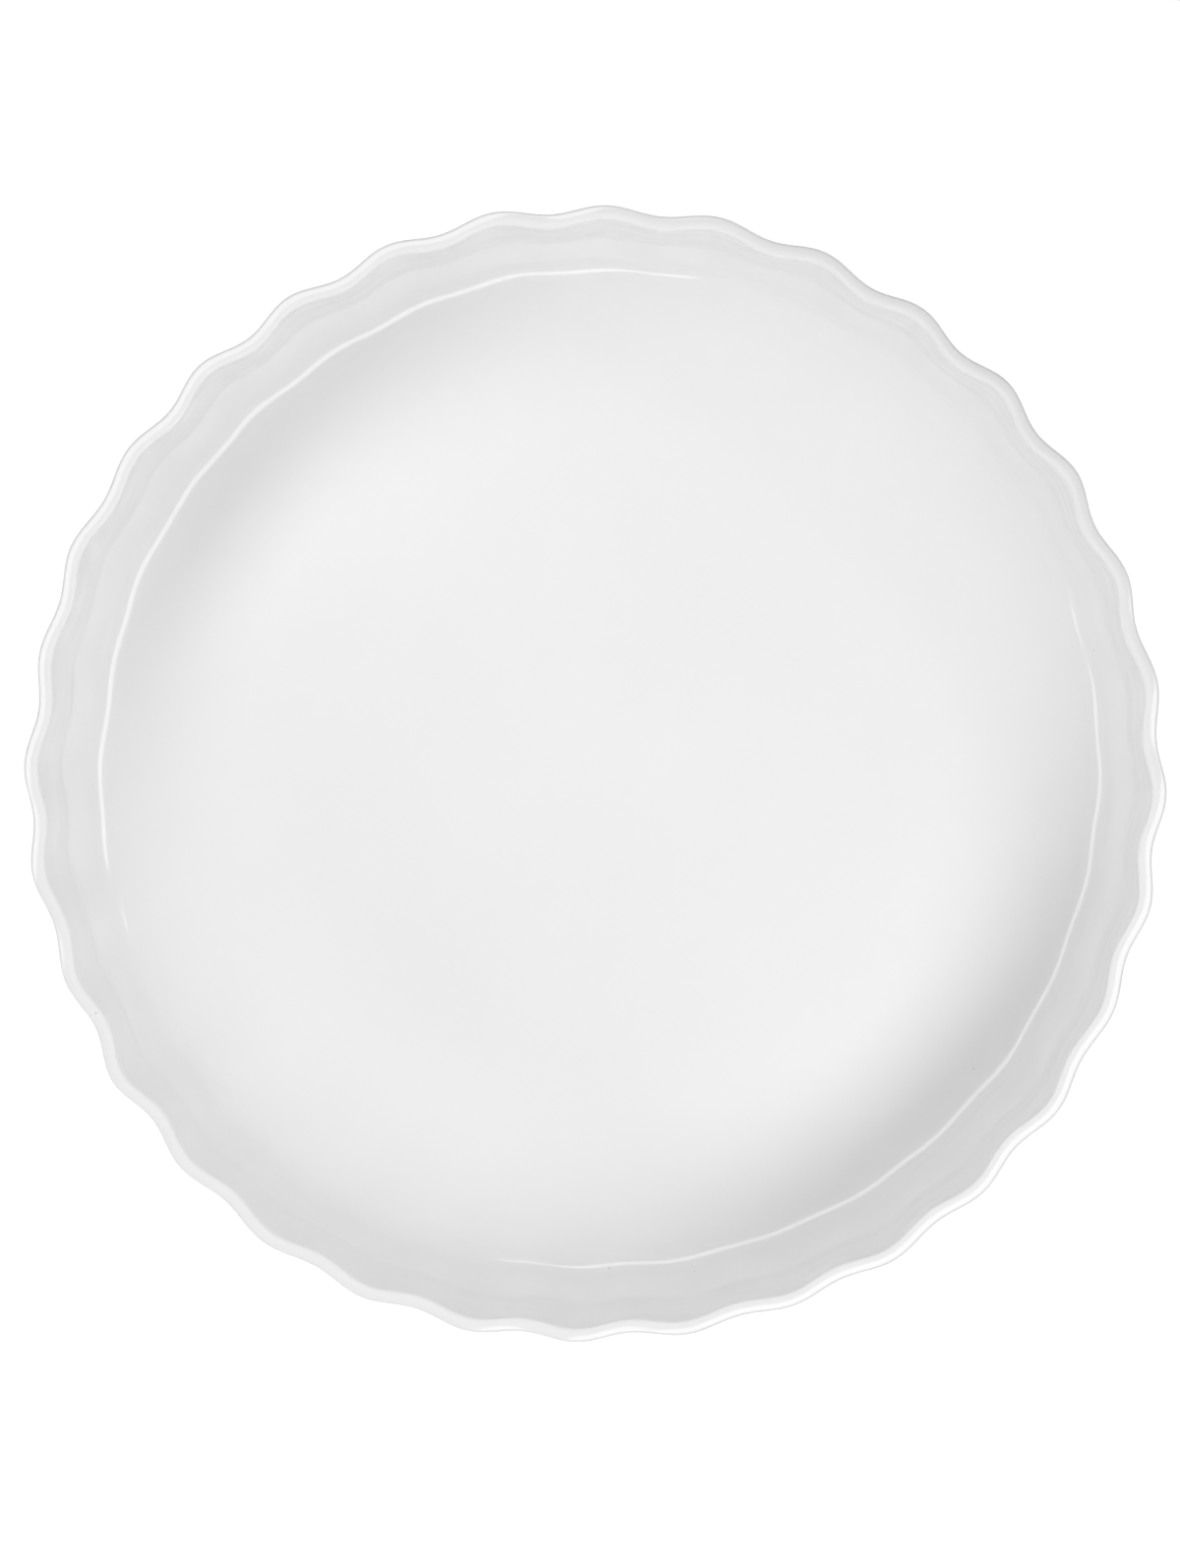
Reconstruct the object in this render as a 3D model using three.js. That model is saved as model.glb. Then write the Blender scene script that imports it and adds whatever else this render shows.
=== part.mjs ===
// A round tart dish with a fluted wall, as a potter makes it: a stoneware body fired to biscuit, then coated with
// a glass glaze that is wiped off the foot ring, which leaves one coat over the dish and one inside the foot ring.
// Millimetres, +Z up. The origin is the centre of the foot ring's standing face, and a flute crest lies on +X.
import * as THREE from "three";
import { mergeGeometries } from "three/addons/utils/BufferGeometryUtils.js";

// Driving dimensions, over the glaze
const RIM_DIAMETER = 280; // over the flute crests
const HEIGHT = 42; // standing face to the top of the rim
const RIM_THICKNESS = 3.7; // between the rim's two edges, before they are rounded
const UPPER_DRAFT = 6; // degrees that the inside of the wall leans out over its bend
const FOOT_DRAFT = 23; // degrees that it leans out under its bend, so the wall thickens to the floor
const BEND_RISE = 13.5; // inside floor to the bend
const OUTER_DRAFT = 6; // degrees that the outside leans out
const FLOOR_THICKNESS = 5; // inside floor to the underside
const FLUTES = 32;
const FLUTE_DEPTH_RIM = 2.2; // crest to valley at the rim
const FLUTE_DEPTH_FOOT = 0.5; // crest to valley where the wall meets the floor
const GLAZE_THICKNESS = 0.4;
const GLAZE_GAP = 0.02; // keeps the curved faces of the coat and the body from crossing

// Foot ring: its standing face and lower flanks are bare body
const FOOT_INSET = 11.4; // from the outer foot of the wall to the ring
const FOOT_WIDTH = 5;
const FOOT_HEIGHT = 1.6; // standing face to the glazed underside
const GLAZE_LINE = 0.7; // bare height of the ring under the coat outside it
const UNDERSIDE_MARGIN = 1; // bare gap between the ring and the coat inside it

// Rounds
const FLOOR_FILLET = 7; // where the floor turns up into the wall
const RIM_ROUND = 1.7; // both edges of the rim
const BASE_ROUND = 8; // where the outside turns under

// Facets
const SEGMENTS_PER_FLUTE = 6;
const SEGMENTS = FLUTES * SEGMENTS_PER_FLUTE;
const FILLET_STEPS = 2;
const RIM_STEPS = 2;
const BASE_STEPS = 3;

// The rim's two edges turn by these angles, and share its width, which limits their round.
const innerTurn = THREE.MathUtils.degToRad(90 - UPPER_DRAFT);
const outerTurn = THREE.MathUtils.degToRad(90 + OUTER_DRAFT);
const innerReach = Math.tan(innerTurn / 2);
const outerReach = Math.tan(outerTurn / 2);
const rimRound = Math.min(RIM_ROUND, RIM_THICKNESS / (innerReach + outerReach));

// Heights and radii that follow. The rim's outer edge stands out past its round, whose side is the widest place.
const floorTop = FOOT_HEIGHT + FLOOR_THICKNESS;
const wallRise = HEIGHT - floorTop;
const rimOuter = RIM_DIAMETER / 2 - FLUTE_DEPTH_RIM / 2 + rimRound * (outerReach - 1);
const rimInner = rimOuter - RIM_THICKNESS;
const bendLevel = floorTop + BEND_RISE;
const wallBend = rimInner - (HEIGHT - bendLevel) / Math.tan(innerTurn);
const wallFootInner = wallBend - BEND_RISE * Math.tan(THREE.MathUtils.degToRad(FOOT_DRAFT));
const baseOuter = rimOuter + (HEIGHT - FOOT_HEIGHT) / Math.tan(outerTurn);
const footOuter = baseOuter - FOOT_INSET;
const footInner = footOuter - FOOT_WIDTH;
const recessTop = FOOT_HEIGHT + GLAZE_THICKNESS;

// Corners of the glazed half section, from the centre of the floor over the rim to the glaze line on the foot ring.
// Each may be rounded in a number of chords, and the fluted ones wave with the wall.
const SECTION = [
  { r: 0, z: floorTop },
  { r: wallFootInner, z: floorTop, round: FLOOR_FILLET, steps: FILLET_STEPS, fluted: true },
  { r: wallBend, z: bendLevel, fluted: true },
  { r: rimInner, z: HEIGHT, round: rimRound, steps: RIM_STEPS, fluted: true },
  { r: rimOuter, z: HEIGHT, round: rimRound, steps: RIM_STEPS, fluted: true },
  { r: baseOuter, z: FOOT_HEIGHT, round: BASE_ROUND, steps: BASE_STEPS, fluted: true },
  { r: footOuter + GLAZE_THICKNESS, z: FOOT_HEIGHT },
  { r: footOuter + GLAZE_THICKNESS, z: GLAZE_LINE },
];

const point = (r, z, flute = 0) => ({ r, z, flute });

// Half the flute depth at a height: the flutes fade from the rim's round to the floor.
function fluteAt(z) {
  const share = THREE.MathUtils.clamp((z - floorTop) / (wallRise - rimRound), 0, 1);
  return THREE.MathUtils.lerp(FLUTE_DEPTH_FOOT, FLUTE_DEPTH_RIM, share) / 2;
}

// Unit direction of the section's edge that starts at a corner.
function edgeDirection(index) {
  const from = SECTION[index];
  const to = SECTION[index + 1];
  return new THREE.Vector2(to.r - from.r, to.z - from.z).normalize();
}

// The material is on the right of the way along the section.
const rightOf = (direction) => new THREE.Vector2(direction.y, -direction.x);

// Where the edges before and after a corner cross once both have moved into the material by a depth.
function sunkCorner(before, after, corner, depth) {
  const bisector = rightOf(before).add(rightOf(after)).normalize();
  const reach = depth / bisector.dot(rightOf(before));
  return new THREE.Vector2(corner.r, corner.z).addScaledVector(bisector, reach);
}

// Points of a round between two edges, in equal turns.
function roundPoints(before, after, corner, radius, steps) {
  const turn = Math.atan2(before.cross(after), before.dot(after));
  const side = Math.sign(turn);
  const toCentre = rightOf(before).multiplyScalar(-side);
  const start = corner.clone().addScaledVector(before, -radius * Math.tan(Math.abs(turn) / 2));
  const centre = start.clone().addScaledVector(toCentre, radius);
  return Array.from({ length: steps + 1 }, (_, i) => start.clone().rotateAround(centre, (turn * i) / steps));
}

// The half section sunk by a depth: 0 is the coat's face, and the body's face is the glaze's thickness under it.
function skin(depth) {
  return SECTION.flatMap((corner, index) => {
    const before = edgeDirection(Math.max(index - 1, 0));
    const after = edgeDirection(Math.min(index, SECTION.length - 2));
    const sunk = sunkCorner(before, after, corner, depth);
    const radius = (corner.round ?? 0) + depth * Math.sign(before.cross(after));
    const rounded = corner.round && radius > 0;
    const points = rounded ? roundPoints(before, after, sunk, radius, corner.steps) : [sunk];
    return points.map(({ x, y }) => point(x, y, corner.fluted ? fluteAt(y) : 0));
  });
}

// A sheet turned from points of the half section, its rings waved by the flutes. A lathe's faces point out when
// the material is on the left of its points, so they are turned from the last to the first.
function flutedLathe(section) {
  const points = section.toReversed();
  const geometry = new THREE.LatheGeometry(points.map(({ r, z }) => new THREE.Vector2(r, z)), SEGMENTS);
  const { position } = geometry.attributes;
  for (let i = 0; i < position.count; i++) {
    const { r, z, flute } = points[i % points.length];
    const step = Math.floor(i / points.length) % SEGMENTS;
    const angle = (2 * Math.PI * step) / SEGMENTS;
    const radius = r + flute * Math.cos(FLUTES * angle);
    position.setXYZ(i, radius * Math.cos(angle), radius * Math.sin(angle), z);
  }
  geometry.computeVertexNormals();
  return geometry;
}

// A sheet facing the other way, split into triangles as the one facing out is, so that the two run side by side.
function turnedOver(sheet) {
  sheet.index.array.reverse();
  sheet.computeVertexNormals();
  return sheet;
}

// Stoneware fired to biscuit: pale, warm and dull. It shows only on the foot ring.
const biscuit = new THREE.MeshStandardMaterial({ color: 0xe9e2d6, roughness: 0.85, metalness: 0 });

// Opaque white glaze: a smooth glass.
const whiteGlaze = new THREE.MeshStandardMaterial({ color: 0xf4f4f4, roughness: 0.08, metalness: 0 });

// The whole body: floor, fluted wall, rim and foot ring are one piece of clay.
function stonewareBody() {
  return flutedLathe([
    ...skin(GLAZE_THICKNESS),
    point(footOuter, 0),
    point(footInner, 0),
    point(footInner, recessTop),
    point(0, recessTop),
  ]);
}

// The coat over the inside, the rim and the outside, down to the glaze line on the foot ring.
function dishGlaze() {
  const face = skin(0);
  const back = skin(GLAZE_THICKNESS - GLAZE_GAP);
  const edge = [face.at(-1), back.at(-1)];
  return mergeGeometries([flutedLathe(face), flutedLathe(edge), turnedOver(flutedLathe(back))]);
}

// The coat on the underside, inside the foot ring.
function undersideGlaze() {
  const edge = footInner - UNDERSIDE_MARGIN;
  return flutedLathe([
    point(0, recessTop),
    point(edge, recessTop),
    point(edge, FOOT_HEIGHT),
    point(0, FOOT_HEIGHT),
  ]);
}

function piece(name, geometry, material) {
  const mesh = new THREE.Mesh(geometry, material);
  mesh.name = name;
  return mesh;
}

const dish = new THREE.Group();
dish.add(
  piece("stoneware_body", stonewareBody(), biscuit),
  piece("dish_glaze", dishGlaze(), whiteGlaze),
  piece("underside_glaze", undersideGlaze(), whiteGlaze),
);

export default dish;
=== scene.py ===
"""White glazed tart dish with a fluted wall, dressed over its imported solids.

Laid out as an add-on and run as a script: the properties hold what a maker would change, one operator makes
each piece and one sets the stage. Everything is in metres, with +Z up and the dish standing on Z 0.
"""

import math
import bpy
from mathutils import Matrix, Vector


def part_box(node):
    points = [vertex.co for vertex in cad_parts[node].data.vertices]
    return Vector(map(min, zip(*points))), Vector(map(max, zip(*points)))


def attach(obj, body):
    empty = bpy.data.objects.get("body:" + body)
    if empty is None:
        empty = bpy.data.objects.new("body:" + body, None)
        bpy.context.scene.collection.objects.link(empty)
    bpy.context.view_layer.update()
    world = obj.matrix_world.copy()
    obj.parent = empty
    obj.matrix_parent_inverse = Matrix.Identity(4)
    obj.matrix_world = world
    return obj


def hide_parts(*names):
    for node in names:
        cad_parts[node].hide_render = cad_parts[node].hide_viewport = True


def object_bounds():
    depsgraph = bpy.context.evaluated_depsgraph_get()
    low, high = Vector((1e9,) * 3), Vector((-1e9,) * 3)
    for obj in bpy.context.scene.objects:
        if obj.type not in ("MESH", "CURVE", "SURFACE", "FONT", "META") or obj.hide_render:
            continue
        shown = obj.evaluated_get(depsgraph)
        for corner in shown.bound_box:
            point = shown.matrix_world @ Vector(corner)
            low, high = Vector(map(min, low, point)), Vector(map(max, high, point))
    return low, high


bl_info = {
    "name": "Fluted Tart Dish",
    "version": (1, 0, 0),
    "blender": (4, 5, 0),
    "location": "View3D > Sidebar > Tart Dish",
    "description": "Makes a white glazed tart dish with a fluted wall, and its stage",
    "category": "Add Mesh",
}

from dataclasses import dataclass, replace

import bpy
from bpy.props import FloatProperty, FloatVectorProperty, IntProperty, PointerProperty
from mathutils import Matrix, Vector

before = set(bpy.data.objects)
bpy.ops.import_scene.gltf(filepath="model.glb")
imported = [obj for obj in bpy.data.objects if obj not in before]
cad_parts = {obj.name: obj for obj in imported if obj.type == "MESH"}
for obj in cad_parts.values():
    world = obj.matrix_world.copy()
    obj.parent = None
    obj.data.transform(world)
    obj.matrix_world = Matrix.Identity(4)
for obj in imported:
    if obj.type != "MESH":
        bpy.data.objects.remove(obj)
CAD_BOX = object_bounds()

MM = 0.001
NEARLY = 0.01 * MM  # heights and radii this close count as one
WELD = 0.001 * MM  # points of a turned mesh this close are merged

# The photograph's frame
PHOTO_HEIGHT = 1594  # pixels of its long side, which the camera's sensor covers
OFF_CENTRE = (1.3, 4.9)  # pixels by which the dish sits right of its middle and above it

# Facets of the turned pieces
FLOOR_STEP = 8 * MM  # between the rings on the floor
WALL_STEP = 1.5 * MM  # between the rings on the wall, which ripples
FILLET_CHORDS = 12  # where the floor turns up
SOFT_CHORDS = 6  # on the wall's bend, the rim's ridge and its inner edge
EDGE_CHORDS = 8  # on the rim's outer edge and where the outside turns under
BEAD_CHORDS = 4  # on the edge of the coat and on the worn foot ring
UNDERSIDE_CHORDS = 5  # on the edge of the underside coat
HIDDEN_CHORDS = 3  # on each round of the coat's back, which lies on the clay
COAT_SECTORS = 16  # round each flute
CLAY_SECTORS = 12
UNDERSIDE_SECTORS = 8
BEAD = 0.9  # round of a coat's edge, as a share of its thickness

# Where the noise is read for a wander round the dish, and its scale on a circle of radius 1
FLUTE_NOISE = ((49.57, 22.49, 21.32), 2.0)
WARP_NOISE = ((15.07, 24.44, 28.41), 1.9)
RIPPLE_NOISE = ((8.4, 2.9, 0.0), 3.0)
RIPPLE_RISE = 14 * MM  # wall height that counts as 1 there
NOISE_LOW, NOISE_HIGH = 0.2, 0.8  # what the noise spans

# Glaze, with its clouds, specks and skin
CLOUD_WIDTH = 45 * MM
CLOUD_LOW, CLOUD_HIGH = 0.3, 0.7  # what the clouds span
SMOOTHEST, DULLEST = 0.05, 0.09  # roughness between the clouds and in them
GLAZE_IOR = 1.54
SPECK_SPACING = 12 * MM
SPECK_CORE = 0.12 * MM  # radius of a speck's dark middle
SPECK_RADIUS = 0.24 * MM
SPECK_DEPTH = 0.7  # how much of the white its middle covers
SPECKS_FROM = 105 * MM  # radius on the dish from which the glaze thins
SPECKS_FULL = 115 * MM  # radius on the dish from which it is thin
DENT_WIDTH = 14 * MM
DENT_DEPTH = 0.05 * MM
PRICK_WIDTH = 1.2 * MM
PRICK_DEPTH = 0.002 * MM

# Clay, with its grains of grog
GROG_SPACING = 1.6 * MM
GROG_FROM, GROG_FULL = 0.5, 0.75  # levels of the noise between which a grain starts and is full
GROG_DEPTH = 0.8  # how much of the clay's colour a grain covers
TOOTH_DEPTH = 0.06 * MM
CLAY_ROUGHNESS = 0.88
CLAY_IOR = 1.5

# Paper under the dish
PAPER_BOUNCE = 0.3  # share of its light that it throws onto the dish
PAPER_GLOW = 0.85  # what it shows the camera without that light

TURNING = "Turned and fluted"
GLAZE = "White stoneware glaze"


def linear(colour):
    """Linear RGBA of an sRGB hex colour."""
    shares = [int(colour[i : i + 2], 16) / 255 for i in (1, 3, 5)]
    return [s / 12.92 if s <= 0.04045 else ((s + 0.055) / 1.055) ** 2.4 for s in shares] + [1]


def solid_points(node):
    """Radius and height of each corner of a solid in the frame."""
    return [(math.hypot(v.co.x, v.co.y), v.co.z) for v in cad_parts[node].data.vertices]


FLOOR_LEVEL = max(z for r, z in solid_points("dish_glaze") if r < NEARLY)
FOOT_RADII = [r for r, z in solid_points("stoneware_body") if z < NEARLY]
UNDERSIDE_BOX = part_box("underside_glaze")


class DishSizes(bpy.types.PropertyGroup):
    """Sizes of the dish, over the glaze."""

    rim_radius: FloatProperty(
        name="Rim radius", description="Axis to the flute crests", default=CAD_BOX[1].x, unit="LENGTH"
    )
    height: FloatProperty(
        name="Height", description="Table to the top of the rim", default=CAD_BOX[1].z, unit="LENGTH"
    )
    floor_level: FloatProperty(
        name="Floor level", description="Table to the inside floor", default=FLOOR_LEVEL, unit="LENGTH"
    )
    foot_lean: FloatProperty(
        name="Foot lean", description="Lean of the wall's inside under its bend", default=math.radians(23),
        subtype="ANGLE",
    )
    upper_lean: FloatProperty(
        name="Upper lean", description="Lean of the wall's inside over its bend", default=math.radians(6),
        subtype="ANGLE",
    )
    bend_rise: FloatProperty(
        name="Bend rise", description="Inside floor to the wall's bend", default=13.5 * MM, unit="LENGTH"
    )
    bend_round: FloatProperty(
        name="Bend round", description="Radius of the wall's bend", default=12 * MM, unit="LENGTH"
    )
    outer_lean: FloatProperty(
        name="Outer lean", description="Lean of the wall's outside", default=math.radians(6), subtype="ANGLE"
    )
    rim_thickness: FloatProperty(
        name="Rim thickness", description="Between the rim's edges before rounding", default=3.62 * MM,
        unit="LENGTH",
    )
    rim_ridge: FloatProperty(
        name="Rim ridge", description="Rim's outer edge to its soft ridge", default=2.3 * MM, unit="LENGTH"
    )
    outer_slope: FloatProperty(
        name="Outer slope", description="Fall of the rim from its ridge to the outside",
        default=math.radians(16), subtype="ANGLE",
    )
    inner_slope: FloatProperty(
        name="Inner slope", description="Fall of the rim from its ridge to the inside",
        default=math.radians(8), subtype="ANGLE",
    )
    rim_round: FloatProperty(
        name="Rim round", description="Radius of the rim's outer edge", default=1 * MM, unit="LENGTH"
    )
    ridge_round: FloatProperty(
        name="Ridge round", description="Radius of the rim's ridge", default=3 * MM, unit="LENGTH"
    )
    inner_round: FloatProperty(
        name="Inner round", description="Radius of the rim's inner edge", default=0.7 * MM, unit="LENGTH"
    )
    floor_fillet: FloatProperty(
        name="Floor fillet", description="Radius where the floor turns up", default=6.5 * MM, unit="LENGTH"
    )
    base_round: FloatProperty(
        name="Base round", description="Radius where the outside turns under", default=8 * MM, unit="LENGTH"
    )
    flutes: IntProperty(name="Flutes", description="Waves round the wall", default=32, min=3)
    rim_flute: FloatProperty(
        name="Flute depth at the rim", description="Crest to valley", default=2.2 * MM, unit="LENGTH"
    )
    foot_flute: FloatProperty(
        name="Flute depth at the floor", description="Crest to valley", default=0.5 * MM, unit="LENGTH"
    )
    glaze: FloatProperty(
        name="Glaze", description="Thickness of the coats", default=0.4 * MM, unit="LENGTH"
    )
    glaze_line: FloatProperty(
        name="Glaze line", description="Bare height of the foot ring", default=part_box("dish_glaze")[0].z,
        unit="LENGTH",
    )
    underside_level: FloatProperty(
        name="Underside level", description="Table to the glazed underside", default=UNDERSIDE_BOX[0].z,
        unit="LENGTH",
    )
    underside_radius: FloatProperty(
        name="Underside coat", description="Radius of the coat inside the foot ring",
        default=UNDERSIDE_BOX[1].x, unit="LENGTH",
    )
    foot_outer: FloatProperty(
        name="Foot outside", description="Outer radius of the foot ring", default=max(FOOT_RADII),
        unit="LENGTH",
    )
    foot_inner: FloatProperty(
        name="Foot inside", description="Inner radius of the foot ring", default=min(FOOT_RADII),
        unit="LENGTH",
    )
    foot_wear: FloatProperty(
        name="Foot wear", description="Round worn on the foot ring's edges", default=0.5 * MM, unit="LENGTH"
    )
    unevenness: FloatProperty(
        name="Uneven flutes", description="How much the flutes differ in depth", default=0.3, subtype="FACTOR"
    )
    warp: FloatProperty(
        name="Kiln warp", description="How far firing pulled the rim out of round", default=1.3 * MM,
        unit="LENGTH",
    )
    ripple: FloatProperty(
        name="Wall ripple", description="Height of the ripples along the wall", default=0.04 * MM,
        unit="LENGTH",
    )


class DishColours(bpy.types.PropertyGroup):
    """Colours of the dish and its stage."""

    glaze: FloatVectorProperty(
        name="Glaze", description="White glaze", default=linear("#F4F4F4"), size=4, subtype="COLOR"
    )
    pooled_glaze: FloatVectorProperty(
        name="Pooled glaze", description="Where the glaze ran thick", default=linear("#F0F0F0"), size=4,
        subtype="COLOR",
    )
    speck: FloatVectorProperty(
        name="Iron speck", description="Specks burnt through the glaze", default=linear("#7D7872"), size=4,
        subtype="COLOR",
    )
    clay: FloatVectorProperty(
        name="Clay", description="Bare fired clay", default=linear("#E6DCCB"), size=4, subtype="COLOR"
    )
    grog: FloatVectorProperty(
        name="Grog", description="Darker grains in the clay", default=linear("#BFAF96"), size=4,
        subtype="COLOR",
    )
    ground: FloatVectorProperty(
        name="Ground", description="Paper that the dish stands on", default=linear("#FFFFFF"), size=4,
        subtype="COLOR",
    )
    flag: FloatVectorProperty(
        name="Flag", description="Black velvet of the flag", default=linear("#121212"), size=4,
        subtype="COLOR",
    )


class DishStage(bpy.types.PropertyGroup):
    """Camera, ground, lamps and flag. Directions count from +X towards +Y."""

    camera_distance: FloatProperty(
        name="Camera distance", description="Lens to the rim", default=1.068, unit="LENGTH"
    )
    camera_tilt: FloatProperty(
        name="Camera tilt", description="Tilt off the upright", default=math.radians(4.0), subtype="ANGLE"
    )
    camera_side: FloatProperty(
        name="Camera side", description="Direction in which the camera stands off the axis",
        default=math.radians(50), subtype="ANGLE",
    )
    camera_roll: FloatProperty(
        name="Camera roll", description="Turn of the picture's right-hand side", default=math.radians(1.45),
        subtype="ANGLE",
    )
    lens: FloatProperty(name="Lens", description="Focal length", default=100, unit="CAMERA")
    ground_width: FloatProperty(
        name="Ground width", description="Side of the paper under the dish", default=3.2, unit="LENGTH"
    )
    box_height: FloatProperty(
        name="Box height", description="Elevation of both soft boxes", default=math.radians(50),
        subtype="ANGLE",
    )
    box_distance: FloatProperty(
        name="Box distance", description="Dish to the soft boxes and the cards", default=2.0, unit="LENGTH"
    )
    box_width: FloatProperty(
        name="Box width", description="Soft boxes from side to side", default=4.0, unit="LENGTH"
    )
    key_depth: FloatProperty(
        name="Key depth", description="Stronger soft box from top to bottom", default=0.84, unit="LENGTH"
    )
    fill_depth: FloatProperty(
        name="Fill depth", description="Weaker soft box from top to bottom", default=0.74, unit="LENGTH"
    )
    key_side: FloatProperty(
        name="Key side", description="Direction of the stronger soft box", default=math.radians(318),
        subtype="ANGLE",
    )
    key_power: FloatProperty(name="Key power", description="Stronger soft box", default=25.7, unit="POWER")
    fill_side: FloatProperty(
        name="Fill side", description="Direction of the weaker soft box", default=math.radians(144),
        subtype="ANGLE",
    )
    fill_power: FloatProperty(name="Fill power", description="Weaker soft box", default=19.8, unit="POWER")
    card_width: FloatProperty(
        name="Card width", description="White cards from side to side", default=2.4, unit="LENGTH"
    )
    card_depth: FloatProperty(
        name="Card depth", description="White cards from top to bottom", default=0.5, unit="LENGTH"
    )
    card_side: FloatProperty(
        name="Card side", description="Direction of the low white card", default=math.radians(225),
        subtype="ANGLE",
    )
    card_height: FloatProperty(
        name="Card height", description="Elevation of the low white card", default=math.radians(20),
        subtype="ANGLE",
    )
    card_power: FloatProperty(
        name="Card power", description="Light that the low card throws back", default=8.0, unit="POWER"
    )
    back_card_side: FloatProperty(
        name="Back card side", description="Direction of the higher white card", default=math.radians(45),
        subtype="ANGLE",
    )
    back_card_height: FloatProperty(
        name="Back card height", description="Elevation of the higher white card", default=math.radians(30),
        subtype="ANGLE",
    )
    back_card_power: FloatProperty(
        name="Back card power", description="Light that the higher card throws back", default=7.4,
        unit="POWER",
    )
    flag_side: FloatProperty(
        name="Flag side", description="Direction of the black flag", default=math.radians(45), subtype="ANGLE"
    )
    flag_distance: FloatProperty(
        name="Flag distance", description="Axis to the black flag", default=0.25, unit="LENGTH"
    )
    flag_width: FloatProperty(
        name="Flag width", description="Black flag from side to side", default=0.3, unit="LENGTH"
    )
    flag_height: FloatProperty(
        name="Flag height", description="Table to the flag's top", default=0.114, unit="LENGTH"
    )
    room: FloatProperty(name="Room light", description="Even light from the white room", default=0.195)


# Half sections

@dataclass(frozen=True)
class Corner:
    """A corner of a half section, which runs with the dish on its right."""

    radius: float
    height: float
    round: float = 0
    chords: int = 1
    fluted: float = 0  # share of the flutes that it follows
    step: float = math.inf  # longest step on the straight stretch after it

    @property
    def at(self):
        return Vector((self.radius, self.height))


def rim_overshoot(sizes):
    """How far the rim's outer corner and its ridge's corner stand past the rounds that replace them."""
    edge_turn = math.pi / 2 + sizes.outer_lean - sizes.outer_slope
    ridge_turn = sizes.inner_slope + sizes.outer_slope
    side = math.cos(sizes.outer_slope) * math.tan(edge_turn / 2) + math.sin(sizes.outer_slope) - 1
    top = math.sin(sizes.inner_slope) * math.tan(ridge_turn / 2) + math.cos(sizes.inner_slope) - 1
    return sizes.rim_round * side, sizes.ridge_round * top


def dish_corners(sizes):
    """Corners of the dish over its glaze, from the middle of the floor over the rim to the glaze line."""
    past_side, past_top = rim_overshoot(sizes)
    rim_edge = sizes.rim_radius - sizes.rim_flute / 2 + past_side
    rim_inside = rim_edge - sizes.rim_thickness
    ridge_level = sizes.height + past_top
    edge_level = ridge_level - sizes.rim_ridge * math.tan(sizes.outer_slope)
    inside_level = ridge_level - (sizes.rim_thickness - sizes.rim_ridge) * math.tan(sizes.inner_slope)
    bend_level = sizes.floor_level + sizes.bend_rise
    wall_bend = rim_inside - (inside_level - bend_level) * math.tan(sizes.upper_lean)
    wall_foot = wall_bend - sizes.bend_rise * math.tan(sizes.foot_lean)
    base_edge = rim_edge - (edge_level - sizes.underside_level) * math.tan(sizes.outer_lean)
    ring = sizes.foot_outer + sizes.glaze
    return [
        Corner(0, sizes.floor_level, step=FLOOR_STEP),
        Corner(wall_foot, sizes.floor_level, sizes.floor_fillet, FILLET_CHORDS, fluted=1, step=WALL_STEP),
        Corner(wall_bend, bend_level, sizes.bend_round, SOFT_CHORDS, fluted=1, step=WALL_STEP),
        Corner(rim_inside, inside_level, sizes.inner_round, SOFT_CHORDS, fluted=1),
        Corner(rim_edge - sizes.rim_ridge, ridge_level, sizes.ridge_round, SOFT_CHORDS, fluted=1),
        Corner(rim_edge, edge_level, sizes.rim_round, EDGE_CHORDS, fluted=1, step=WALL_STEP),
        Corner(base_edge, sizes.underside_level, sizes.base_round, EDGE_CHORDS, fluted=1),
        Corner(ring, sizes.underside_level, sizes.glaze, BEAD_CHORDS),
        Corner(ring, sizes.glaze_line, sizes.glaze * BEAD, BEAD_CHORDS),
        Corner(sizes.foot_outer, sizes.glaze_line),
    ]


def right_of(way):
    """Direction on the right of a way along a section."""
    return Vector((way.y, -way.x))


def sunk(corners, depth):
    """The corners of a section moved into the dish by a depth."""
    ways = [(b.at - a.at).normalized() for a, b in zip(corners, corners[1:])]
    moved = []
    for before, after, old in zip(ways[:1] + ways, ways + ways[-1:], corners):
        split = (right_of(before) + right_of(after)).normalized()
        at = old.at + split * (depth / split.dot(right_of(before)))
        turn = before.x * after.y - before.y * after.x
        rounding = max(old.round + math.copysign(depth, turn), 0) if old.round else 0
        moved.append(replace(old, radius=at.x, height=at.y, round=rounding))
    return moved


def clay_corners(sizes):
    """Corners of the clay under the coat over the dish, down to the foot ring."""
    return sunk(dish_corners(sizes)[:-1], sizes.glaze)[:-1]


def round_points(start, this, end):
    """Points of the round at a corner between two others."""
    before = (this.at - start.at).normalized()
    after = (end.at - this.at).normalized()
    turn = math.atan2(before.x * after.y - before.y * after.x, before.dot(after))
    first = this.at - before * (this.round * math.tan(abs(turn) / 2))
    middle = first - right_of(before) * math.copysign(this.round, turn)
    turns = [turn * i / this.chords for i in range(this.chords + 1)]
    return [middle + Matrix.Rotation(part, 2) @ (first - middle) for part in turns]


def section_points(corners):
    """Radius, height and flute share of each point of a section, with its rounds and steps drawn."""
    points = []
    for i, this in enumerate(corners):
        drawn = round_points(corners[i - 1], this, corners[i + 1]) if this.round else [this.at]
        drawn = [Vector((*at, this.fluted)) for at in drawn]
        if points:
            parts = math.ceil((drawn[0] - points[-1]).xy.length / corners[i - 1].step)
            points += [points[-1].lerp(drawn[0], part / parts) for part in range(1, parts)]
        points += drawn
    return points


# Nodes

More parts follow.
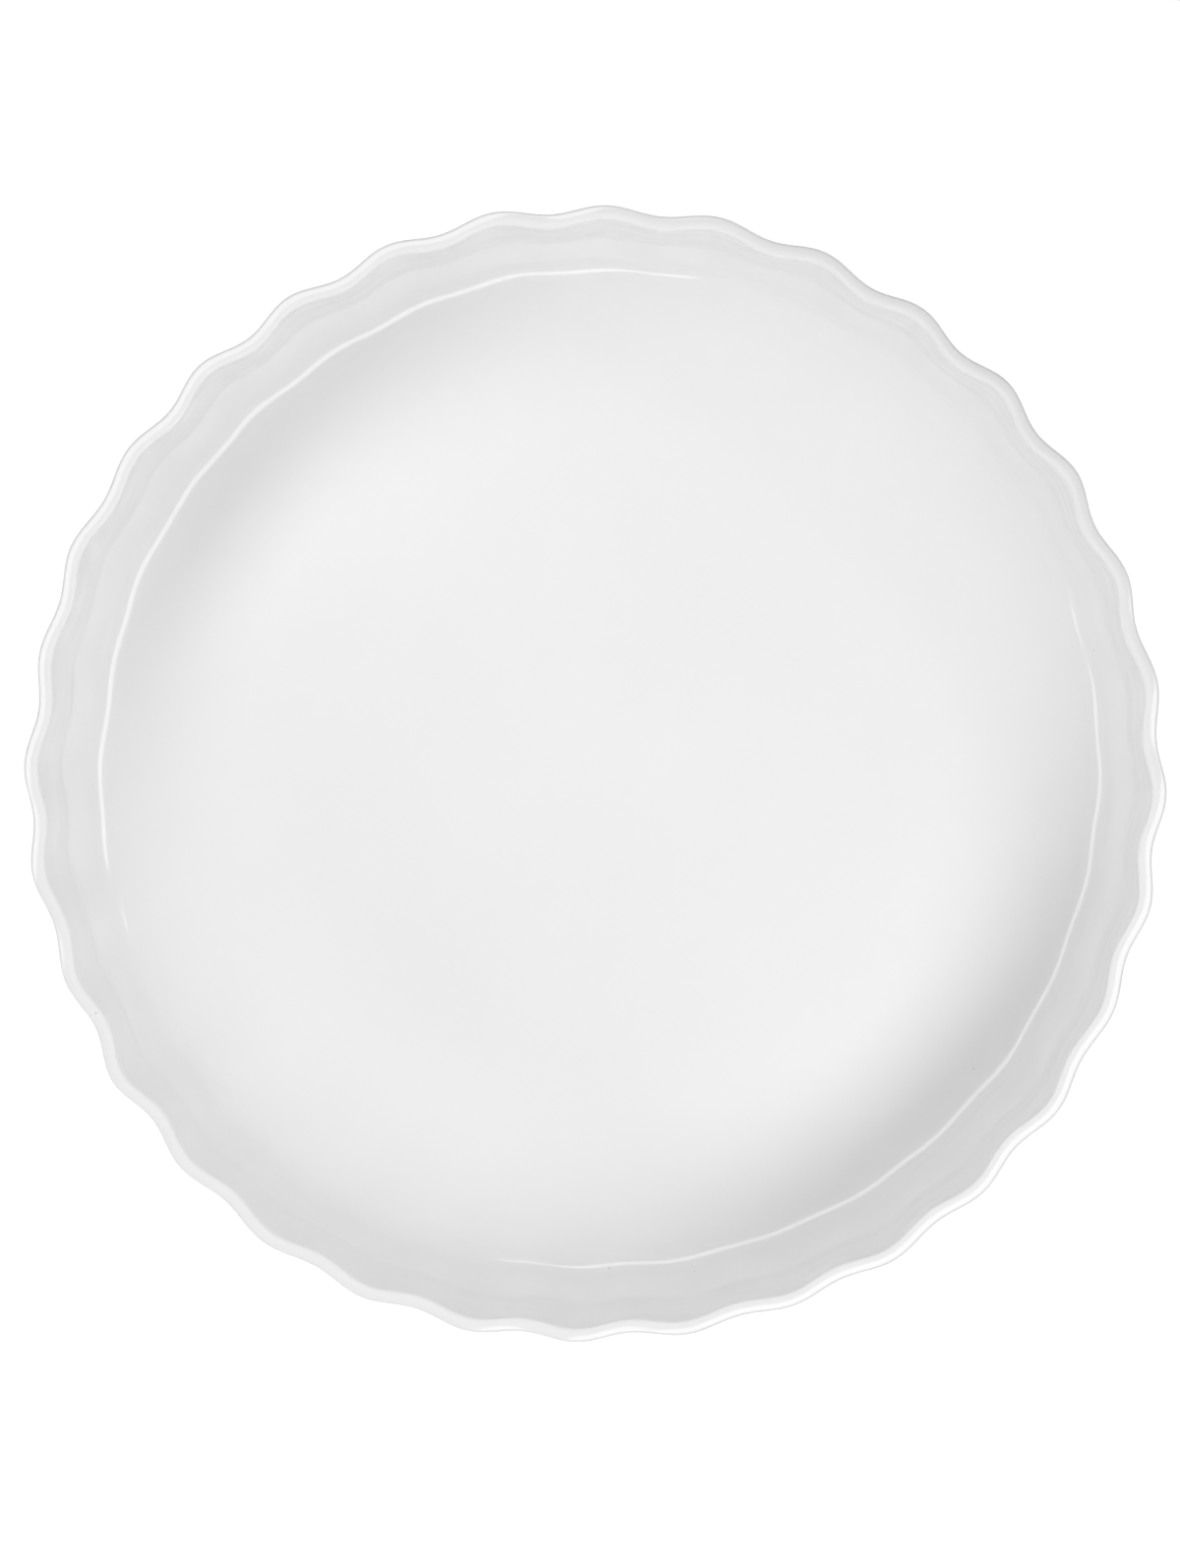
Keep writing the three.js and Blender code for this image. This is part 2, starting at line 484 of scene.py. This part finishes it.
def add_node(tree, kind, inputs=None, **settings):
    """Adds a node with its settings, and with values or links on its inputs."""
    node = tree.nodes.new(kind)
    for name, value in settings.items():
        setattr(node, name, value)
    for key, value in (inputs or {}).items():
        if isinstance(value, bpy.types.NodeSocket):
            tree.links.new(value, node.inputs[key])
        else:
            node.inputs[key].default_value = value
    return node


TURNING_INPUTS = {
    "Section": "NodeSocketGeometry",
    "Sectors": "NodeSocketInt",
    "Flutes": "NodeSocketInt",
    "Flute depth at the rim": "NodeSocketFloat",
    "Flute depth at the floor": "NodeSocketFloat",
    "Floor level": "NodeSocketFloat",
    "Rim level": "NodeSocketFloat",
    "Rim radius": "NodeSocketFloat",
    "Uneven flutes": "NodeSocketFloat",
    "Kiln warp": "NodeSocketFloat",
    "Wall ripple": "NodeSocketFloat",
    "Finish": "NodeSocketMaterial",
}


def turning_tree():
    """The node tree that turns a half section about the axis, and waves, warps and ripples what it turned."""
    tree = bpy.data.node_groups.new(TURNING, "GeometryNodeTree")
    for name, kind in TURNING_INPUTS.items():
        tree.interface.new_socket(name, in_out="INPUT", socket_type=kind)
    tree.interface.new_socket("Piece", in_out="OUTPUT", socket_type="NodeSocketGeometry")
    given = add_node(tree, "NodeGroupInput").outputs

    # The section and the circle each keep what they measure, so that the turned mesh can be placed from it.
    section = add_node(tree, "GeometryNodeMeshToCurve", {"Mesh": given["Section"]})
    place = add_node(tree, "GeometryNodeInputPosition")
    section = add_node(
        tree, "GeometryNodeStoreNamedAttribute",
        {"Geometry": section.outputs[0], "Name": "section", "Value": place.outputs[0]},
        data_type="FLOAT_VECTOR",
    )
    circle = add_node(tree, "GeometryNodeCurvePrimitiveCircle", {"Resolution": given["Sectors"], "Radius": 1})
    count = add_node(tree, "GeometryNodeInputIndex")
    share = add_node(tree, "ShaderNodeMath", {0: count.outputs[0], 1: given["Sectors"]}, operation="DIVIDE")
    angle = add_node(tree, "ShaderNodeMath", {0: share.outputs[0], 1: math.tau}, operation="MULTIPLY")
    circle = add_node(
        tree, "GeometryNodeStoreNamedAttribute",
        {"Geometry": circle.outputs[0], "Name": "turn", "Value": angle.outputs[0]},
    )
    turned = add_node(
        tree, "GeometryNodeCurveToMesh", {"Curve": circle.outputs[0], "Profile Curve": section.outputs[0]}
    )

    # Radius and height on the section, and the turn round the axis
    kept = add_node(tree, "GeometryNodeInputNamedAttribute", {"Name": "section"}, data_type="FLOAT_VECTOR")
    kept = add_node(tree, "ShaderNodeSeparateXYZ", {0: kept.outputs[0]}).outputs
    turn = add_node(tree, "GeometryNodeInputNamedAttribute", {"Name": "turn"}).outputs[0]
    fluted = add_node(tree, "GeometryNodeInputNamedAttribute", {"Name": "fluted"}).outputs[0]
    across = add_node(tree, "ShaderNodeMath", {0: turn}, operation="COSINE").outputs[0]
    along = add_node(tree, "ShaderNodeMath", {0: turn}, operation="SINE").outputs[0]

    def wander(offset, scale, height=0.0):
        """A slow wander round the dish, between -1 and 1."""
        where = add_node(tree, "ShaderNodeCombineXYZ", {"X": across, "Y": along, "Z": height})
        moved = add_node(tree, "ShaderNodeVectorMath", {0: where.outputs[0], 1: offset}, operation="ADD")
        noise = add_node(
            tree, "ShaderNodeTexNoise", {"Vector": moved.outputs[0], "Scale": scale, "Detail": 1.0}
        )
        return add_node(
            tree, "ShaderNodeMapRange",
            {
                "Value": noise.outputs[0], "From Min": NOISE_LOW, "From Max": NOISE_HIGH,
                "To Min": -1.0, "To Max": 1.0,
            },
        ).outputs[0]

    # Flutes, deepest at the rim, swing half their depth to either side.
    depth = add_node(
        tree, "ShaderNodeMapRange",
        {
            "Value": kept["Z"], "From Min": given["Floor level"], "From Max": given["Rim level"],
            "To Min": given["Flute depth at the floor"], "To Max": given["Flute depth at the rim"],
        },
    ).outputs[0]
    uneven = add_node(
        tree, "ShaderNodeMath",
        {0: wander(*FLUTE_NOISE), 1: given["Uneven flutes"], 2: 1.0}, operation="MULTIPLY_ADD",
    ).outputs[0]
    waves = add_node(tree, "ShaderNodeMath", {0: turn, 1: given["Flutes"]}, operation="MULTIPLY")
    flute = add_node(tree, "ShaderNodeMath", {0: waves.outputs[0]}, operation="COSINE").outputs[0]
    for factor in (depth, 0.5, fluted, uneven):
        flute = add_node(tree, "ShaderNodeMath", {0: flute, 1: factor}, operation="MULTIPLY").outputs[0]

    # Warp grows from the axis to the rim.
    reach = add_node(
        tree, "ShaderNodeMath", {0: kept["X"], 1: given["Rim radius"]}, operation="DIVIDE"
    ).outputs[0]
    warp = wander(*WARP_NOISE)
    for factor in (given["Kiln warp"], reach):
        warp = add_node(tree, "ShaderNodeMath", {0: warp, 1: factor}, operation="MULTIPLY").outputs[0]

    # Ripples run round the wall in bands.
    band = add_node(tree, "ShaderNodeMath", {0: kept["Z"], 1: RIPPLE_RISE}, operation="DIVIDE").outputs[0]
    ripple = wander(*RIPPLE_NOISE, band)
    for factor in (given["Wall ripple"], fluted):
        ripple = add_node(tree, "ShaderNodeMath", {0: ripple, 1: factor}, operation="MULTIPLY").outputs[0]

    radius = kept["X"]
    for part in (flute, warp, ripple):
        radius = add_node(tree, "ShaderNodeMath", {0: radius, 1: part}, operation="ADD").outputs[0]
    spoke = add_node(tree, "ShaderNodeCombineXYZ", {"X": across, "Y": along})
    ray = add_node(tree, "ShaderNodeVectorMath", {0: spoke.outputs[0], "Scale": radius}, operation="SCALE")
    lift = add_node(tree, "ShaderNodeCombineXYZ", {"Z": kept["Z"]})
    spot = add_node(
        tree, "ShaderNodeVectorMath", {0: ray.outputs[0], 1: lift.outputs[0]}, operation="ADD"
    )
    placed = add_node(
        tree, "GeometryNodeSetPosition", {"Geometry": turned.outputs[0], "Position": spot.outputs[0]}
    )
    closed = add_node(
        tree, "GeometryNodeMergeByDistance", {"Geometry": placed.outputs[0], "Distance": WELD}
    )
    smooth = add_node(tree, "GeometryNodeSetShadeSmooth", {"Geometry": closed.outputs[0]})
    whole = add_node(tree, "GeometryNodeRealizeInstances", {"Geometry": smooth.outputs[0]})
    finished = add_node(
        tree, "GeometryNodeSetMaterial", {"Geometry": whole.outputs[0], "Material": given["Finish"]}
    )
    add_node(tree, "NodeGroupOutput", {0: finished.outputs[0]})
    return tree


def turned_piece(name, points, sectors, finish, sizes):
    """An object turned from the points of a half section, as a plain mesh that rides on the dish."""
    line = bpy.data.meshes.new(name)
    line.from_pydata([(r, 0, z) for r, z, _ in points], [(i, i + 1) for i in range(len(points) - 1)], [])
    shares = line.attributes.new("fluted", "FLOAT", "POINT")
    shares.data.foreach_set("value", [fluted for _, _, fluted in points])
    piece = bpy.data.objects.new(name, line)
    bpy.context.scene.collection.objects.link(piece)
    turning = piece.modifiers.new("Turning", "NODES")
    turning.node_group = bpy.data.node_groups.get(TURNING) or turning_tree()
    given = {
        "Sectors": sectors * sizes.flutes,
        "Flutes": sizes.flutes,
        "Flute depth at the rim": sizes.rim_flute,
        "Flute depth at the floor": sizes.foot_flute,
        "Floor level": sizes.floor_level,
        "Rim level": sizes.height - sizes.rim_round,
        "Rim radius": sizes.rim_radius,
        "Uneven flutes": sizes.unevenness,
        "Kiln warp": sizes.warp,
        "Wall ripple": sizes.ripple,
        "Finish": finish,
    }
    for socket in turning.node_group.interface.items_tree:
        if socket.name in given:
            turning[socket.identifier] = given[socket.name]
    turned = piece.evaluated_get(bpy.context.evaluated_depsgraph_get())
    mesh = bpy.data.meshes.new_from_object(turned)
    piece.modifiers.remove(turning)
    piece.data = mesh
    for kept in ("section", "turn", "fluted"):
        mesh.attributes.remove(mesh.attributes[kept])
    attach(piece, "root")
    return piece


# Finishes

def new_finish(name):
    """A material with an empty tree."""
    finish = bpy.data.materials.new(name)
    finish.use_nodes = True
    finish.node_tree.nodes.clear()
    return finish


def glaze_finish(colours):
    """Opaque white stoneware glaze, fired to a smooth glass: clean gloss over a faintly clouded white."""
    finish = bpy.data.materials.get(GLAZE)
    if finish:
        return finish
    finish = new_finish(GLAZE)
    tree = finish.node_tree
    place = add_node(tree, "ShaderNodeTexCoord").outputs["Object"]

    # The glaze ran a little thick and thin in clouds.
    clouds = add_node(tree, "ShaderNodeTexNoise", {"Vector": place, "Scale": 1 / CLOUD_WIDTH, "Detail": 2.0})
    white = add_node(
        tree, "ShaderNodeMix",
        {"Factor": clouds.outputs[0], "A": colours.glaze[:], "B": colours.pooled_glaze[:]}, data_type="RGBA",
    )

    # Iron specks in the clay burn through where the glaze is thin, on the wall and at its foot.
    grains = add_node(tree, "ShaderNodeTexVoronoi", {"Vector": place, "Scale": 1 / SPECK_SPACING})
    speck = add_node(
        tree, "ShaderNodeMapRange",
        {
            "Value": grains.outputs["Distance"], "From Min": SPECK_CORE / SPECK_SPACING,
            "From Max": SPECK_RADIUS / SPECK_SPACING, "To Min": SPECK_DEPTH, "To Max": 0.0,
        },
    )
    level = add_node(tree, "ShaderNodeVectorMath", {0: place, 1: (1, 1, 0)}, operation="MULTIPLY")
    reach = add_node(tree, "ShaderNodeVectorMath", {0: level.outputs[0]}, operation="LENGTH")
    thin = add_node(
        tree, "ShaderNodeMapRange",
        {"Value": reach.outputs["Value"], "From Min": SPECKS_FROM, "From Max": SPECKS_FULL},
    )
    speck = add_node(
        tree, "ShaderNodeMath", {0: speck.outputs[0], 1: thin.outputs[0]}, operation="MULTIPLY"
    )
    specked = add_node(
        tree, "ShaderNodeMix",
        {"Factor": speck.outputs[0], "A": white.outputs["Result"], "B": colours.speck[:]}, data_type="RGBA",
    )

    # The melt settled into a skin with slow dents and fine pricks.
    dents = add_node(tree, "ShaderNodeTexNoise", {"Vector": place, "Scale": 1 / DENT_WIDTH, "Detail": 1.0})
    pricks = add_node(tree, "ShaderNodeTexNoise", {"Vector": place, "Scale": 1 / PRICK_WIDTH, "Detail": 1.0})
    skin = add_node(
        tree, "ShaderNodeBump", {"Height": dents.outputs[0], "Strength": 1.0, "Distance": DENT_DEPTH}
    )
    skin = add_node(
        tree, "ShaderNodeBump",
        {"Height": pricks.outputs[0], "Strength": 1.0, "Distance": PRICK_DEPTH, "Normal": skin.outputs[0]},
    )
    dulled = add_node(
        tree, "ShaderNodeMapRange",
        {
            "Value": clouds.outputs[0], "From Min": CLOUD_LOW, "From Max": CLOUD_HIGH,
            "To Min": SMOOTHEST, "To Max": DULLEST,
        },
    )
    shader = add_node(
        tree, "ShaderNodeBsdfPrincipled",
        {
            "Base Color": specked.outputs["Result"], "Roughness": dulled.outputs[0], "IOR": GLAZE_IOR,
            "Normal": skin.outputs[0],
        },
    )
    add_node(tree, "ShaderNodeOutputMaterial", {"Surface": shader.outputs[0]})
    return finish


def clay_finish(colours):
    """Bare fired stoneware: dull, pale and warm, with darker grains of grog and a fine tooth."""
    finish = new_finish("Fired stoneware clay")
    tree = finish.node_tree
    place = add_node(tree, "ShaderNodeTexCoord").outputs["Object"]
    grains = add_node(tree, "ShaderNodeTexNoise", {"Vector": place, "Scale": 1 / GROG_SPACING, "Detail": 3.0})
    share = add_node(
        tree, "ShaderNodeMapRange",
        {
            "Value": grains.outputs[0], "From Min": GROG_FROM, "From Max": GROG_FULL,
            "To Min": 0.0, "To Max": GROG_DEPTH,
        },
    )
    colour = add_node(
        tree, "ShaderNodeMix",
        {"Factor": share.outputs[0], "A": colours.clay[:], "B": colours.grog[:]}, data_type="RGBA",
    )
    tooth = add_node(
        tree, "ShaderNodeBump", {"Height": grains.outputs[0], "Strength": 1.0, "Distance": TOOTH_DEPTH}
    )
    shader = add_node(
        tree, "ShaderNodeBsdfPrincipled",
        {
            "Base Color": colour.outputs["Result"], "Roughness": CLAY_ROUGHNESS, "IOR": CLAY_IOR,
            "Normal": tooth.outputs[0],
        },
    )
    add_node(tree, "ShaderNodeOutputMaterial", {"Surface": shader.outputs[0]})
    return finish


def flag_finish(colours):
    """Black velvet, which throws back next to nothing."""
    finish = new_finish("Black velvet")
    tree = finish.node_tree
    velvet = add_node(tree, "ShaderNodeBsdfDiffuse", {"Color": colours.flag[:]})
    add_node(tree, "ShaderNodeOutputMaterial", {"Surface": velvet.outputs[0]})
    return finish


def seen_directly(tree):
    """1 for the camera's own rays and for those that gloss and glass send on, else 0."""
    path = add_node(tree, "ShaderNodeLightPath").outputs
    gloss = add_node(
        tree, "ShaderNodeMath",
        {0: path["Is Glossy Ray"], 1: path["Is Transmission Ray"]}, operation="MAXIMUM",
    )
    return add_node(
        tree, "ShaderNodeMath", {0: path["Is Camera Ray"], 1: gloss.outputs[0]}, operation="MAXIMUM"
    ).outputs[0]


def ground_finish(colours):
    """White paper, lit to white for the camera and for reflections, and still darker in a deep shadow."""
    finish = new_finish("White paper ground")
    tree = finish.node_tree
    paper = add_node(tree, "ShaderNodeBsdfDiffuse", {"Color": [PAPER_BOUNCE] * 3 + [1]})
    glow = add_node(tree, "ShaderNodeEmission", {"Color": colours.ground[:], "Strength": PAPER_GLOW})
    lit = add_node(tree, "ShaderNodeAddShader", {0: paper.outputs[0], 1: glow.outputs[0]})
    shown = add_node(
        tree, "ShaderNodeMixShader", {0: seen_directly(tree), 1: paper.outputs[0], 2: lit.outputs[0]}
    )
    add_node(tree, "ShaderNodeOutputMaterial", {"Surface": shown.outputs[0]})
    return finish


# Stage

def direction(side, elevation):
    """Unit vector towards a side, at an elevation over the ground."""
    level = math.cos(elevation)
    return Vector((math.cos(side) * level, math.sin(side) * level, math.sin(elevation)))


def flat_sheet(scene, name, corners, finish):
    """A flat sheet with four corners."""
    mesh = bpy.data.meshes.new(name)
    mesh.from_pydata(corners, [], [(0, 1, 2, 3)])
    mesh.materials.append(finish)
    sheet = bpy.data.objects.new(name, mesh)
    scene.collection.objects.link(sheet)
    return sheet


# Operators

class TARTDISH_OT_glaze_coat(bpy.types.Operator):
    """Makes the glaze over the inside, the rim and the outside"""

    bl_idname = "tart_dish.glaze_coat"
    bl_label = "Glaze Coat"

    def execute(self, context):
        sizes = context.scene.tart_dish_sizes
        face = section_points(dish_corners(sizes))
        hidden = [replace(one, chords=HIDDEN_CHORDS, step=math.inf) for one in clay_corners(sizes)]
        back = section_points(hidden + [Corner(sizes.foot_outer, sizes.glaze_line)])
        finish = glaze_finish(context.scene.tart_dish_colours)
        coat = turned_piece("glaze_coat", face[:-1] + back[::-1], COAT_SECTORS, finish, sizes)
        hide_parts("dish_glaze")
        return {"FINISHED"}


class TARTDISH_OT_clay_body(bpy.types.Operator):
    """Makes the fired clay, which shows on the foot ring"""

    bl_idname = "tart_dish.clay_body"
    bl_label = "Clay Body"

    def execute(self, context):
        sizes = context.scene.tart_dish_sizes
        recess = sizes.underside_level + sizes.glaze
        ring = [
            Corner(sizes.foot_outer, 0, sizes.foot_wear, BEAD_CHORDS),
            Corner(sizes.foot_inner, 0, sizes.foot_wear, BEAD_CHORDS),
            Corner(sizes.foot_inner, recess),
            Corner(0, recess),
        ]
        section = section_points(clay_corners(sizes) + ring)
        finish = clay_finish(context.scene.tart_dish_colours)
        body = turned_piece("clay_body", section, CLAY_SECTORS, finish, sizes)
        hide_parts("stoneware_body")
        return {"FINISHED"}


class TARTDISH_OT_underside_coat(bpy.types.Operator):
    """Makes the glaze on the underside, inside the foot ring"""

    bl_idname = "tart_dish.underside_coat"
    bl_label = "Underside Coat"

    def execute(self, context):
        sizes = context.scene.tart_dish_sizes
        edge = sizes.underside_radius
        level = sizes.underside_level
        section = section_points([
            Corner(0, level + sizes.glaze),
            Corner(edge, level + sizes.glaze),
            Corner(edge, level, sizes.glaze * BEAD, UNDERSIDE_CHORDS, step=FLOOR_STEP),
            Corner(0, level),
        ])
        finish = glaze_finish(context.scene.tart_dish_colours)
        coat = turned_piece("underside_coat", section, UNDERSIDE_SECTORS, finish, sizes)
        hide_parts("underside_glaze")
        return {"FINISHED"}


class TARTDISH_OT_stage(bpy.types.Operator):
    """Sets the ground, the flag, the room, the soft boxes, the cards and the camera"""

    bl_idname = "tart_dish.stage"
    bl_label = "Stage"

    def execute(self, context):
        scene = context.scene
        stage = scene.tart_dish_stage
        colours = scene.tart_dish_colours
        scene.view_settings.view_transform = "Standard"
        self.lay_ground(scene, ground_finish(colours), stage)
        self.stand_flag(scene, flag_finish(colours), stage)
        self.light_room(scene, colours, stage)
        away = direction(stage.key_side, stage.box_height) * stage.box_distance
        self.hang_lamp(scene, "Key soft box", away, stage.key_power, stage.box_width, stage.key_depth)
        away = direction(stage.fill_side, stage.box_height) * stage.box_distance
        self.hang_lamp(scene, "Fill soft box", away, stage.fill_power, stage.box_width, stage.fill_depth)

        # The cards brighten the wall and don't show in the gloss.
        away = direction(stage.card_side, stage.card_height) * stage.box_distance
        card = self.hang_lamp(scene, "White card", away, stage.card_power, stage.card_width, stage.card_depth)
        card.visible_glossy = False
        away = direction(stage.back_card_side, stage.back_card_height) * stage.box_distance
        card = self.hang_lamp(
            scene, "Back card", away, stage.back_card_power, stage.card_width, stage.card_depth
        )
        card.visible_glossy = False
        self.set_camera(scene, stage, scene.tart_dish_sizes)
        return {"FINISHED"}

    def lay_ground(self, scene, finish, stage):
        """A square of paper lies under the dish, centred on its axis."""
        half = stage.ground_width / 2
        corners = [(-half, -half, 0), (half, -half, 0), (half, half, 0), (-half, half, 0)]
        ground = flat_sheet(scene, "ground", corners, finish)

    def stand_flag(self, scene, finish, stage):
        """A black flag stands beside the dish, out of sight, and draws a dark edge on the white rim."""
        out = direction(stage.flag_side, 0) * stage.flag_distance
        along = Vector((-out.y, out.x, 0)).normalized() * stage.flag_width / 2
        top = Vector((0, 0, stage.flag_height))
        corners = [out - along, out + along, out + along + top, out - along + top]
        flag = flat_sheet(scene, "flag", corners, finish)
        flag.visible_camera = False
        flag.visible_glossy = False

    def light_room(self, scene, colours, stage):
        """An even room, which the camera and the gloss see as white."""
        room = bpy.data.worlds.new("White room")
        room.use_nodes = True
        tree = room.node_tree
        tree.nodes.clear()
        seen = add_node(tree, "ShaderNodeBackground", {"Color": colours.ground[:], "Strength": 1.0})
        even = add_node(tree, "ShaderNodeBackground", {"Color": colours.ground[:], "Strength": stage.room})
        shown = add_node(
            tree, "ShaderNodeMixShader", {0: seen_directly(tree), 1: even.outputs[0], 2: seen.outputs[0]}
        )
        add_node(tree, "ShaderNodeOutputWorld", {"Surface": shown.outputs[0]})
        scene.world = room

    def hang_lamp(self, scene, name, away, power, width, depth):
        """An oval lamp that faces the dish."""
        light = bpy.data.lights.new(name, "AREA")
        light.shape = "ELLIPSE"
        light.size = width
        light.size_y = depth
        light.energy = power
        lamp = bpy.data.objects.new(name, light)
        scene.collection.objects.link(lamp)
        lamp.location = away
        lamp.rotation_euler = away.to_track_quat("Z", "Y").to_euler()
        lamp.visible_camera = False
        return lamp

    def set_camera(self, scene, stage, sizes):
        """A camera nearly over the dish, which it frames as the photograph does."""
        lens = bpy.data.cameras.new("Camera")
        lens.lens = stage.lens
        camera = bpy.data.objects.new("Camera", lens)
        scene.collection.objects.link(camera)
        scene.camera = camera
        back = direction(stage.camera_side, math.pi / 2 - stage.camera_tilt)
        up = Vector((-math.sin(stage.camera_roll), math.cos(stage.camera_roll), 0))
        right = up.cross(back).normalized()
        up = back.cross(right)
        pixel = stage.camera_distance * lens.sensor_width / (lens.lens * PHOTO_HEIGHT)
        rim = Vector((0, 0, sizes.height - sizes.rim_round))
        aim = rim - (right * OFF_CENTRE[0] + up * OFF_CENTRE[1]) * pixel
        turn = Matrix((right, up, back)).transposed().to_4x4()
        camera.matrix_world = Matrix.Translation(aim + back * stage.camera_distance) @ turn


class TARTDISH_PT_sidebar(bpy.types.Panel):
    """Sizes, colours and operators of the dish"""

    bl_label = "Tart Dish"
    bl_space_type = "VIEW_3D"
    bl_region_type = "UI"
    bl_category = "Tart Dish"

    def draw(self, context):
        scene = context.scene
        for group in (scene.tart_dish_sizes, scene.tart_dish_colours, scene.tart_dish_stage):
            for name in group.__annotations__:
                self.layout.prop(group, name)
        for maker in OPERATORS:
            self.layout.operator(maker.bl_idname)


OPERATORS = (
    TARTDISH_OT_glaze_coat, TARTDISH_OT_clay_body, TARTDISH_OT_underside_coat, TARTDISH_OT_stage,
)
CLASSES = (DishSizes, DishColours, DishStage, *OPERATORS, TARTDISH_PT_sidebar)


def register():
    for one in CLASSES:
        bpy.utils.register_class(one)
    bpy.types.Scene.tart_dish_sizes = PointerProperty(type=DishSizes)
    bpy.types.Scene.tart_dish_colours = PointerProperty(type=DishColours)
    bpy.types.Scene.tart_dish_stage = PointerProperty(type=DishStage)


def unregister():
    del bpy.types.Scene.tart_dish_stage
    del bpy.types.Scene.tart_dish_colours
    del bpy.types.Scene.tart_dish_sizes
    for one in reversed(CLASSES):
        bpy.utils.unregister_class(one)


def main():
    register()
    bpy.ops.tart_dish.glaze_coat()
    bpy.ops.tart_dish.clay_body()
    bpy.ops.tart_dish.underside_coat()
    bpy.ops.tart_dish.stage()


if __name__ == "__main__":
    main()
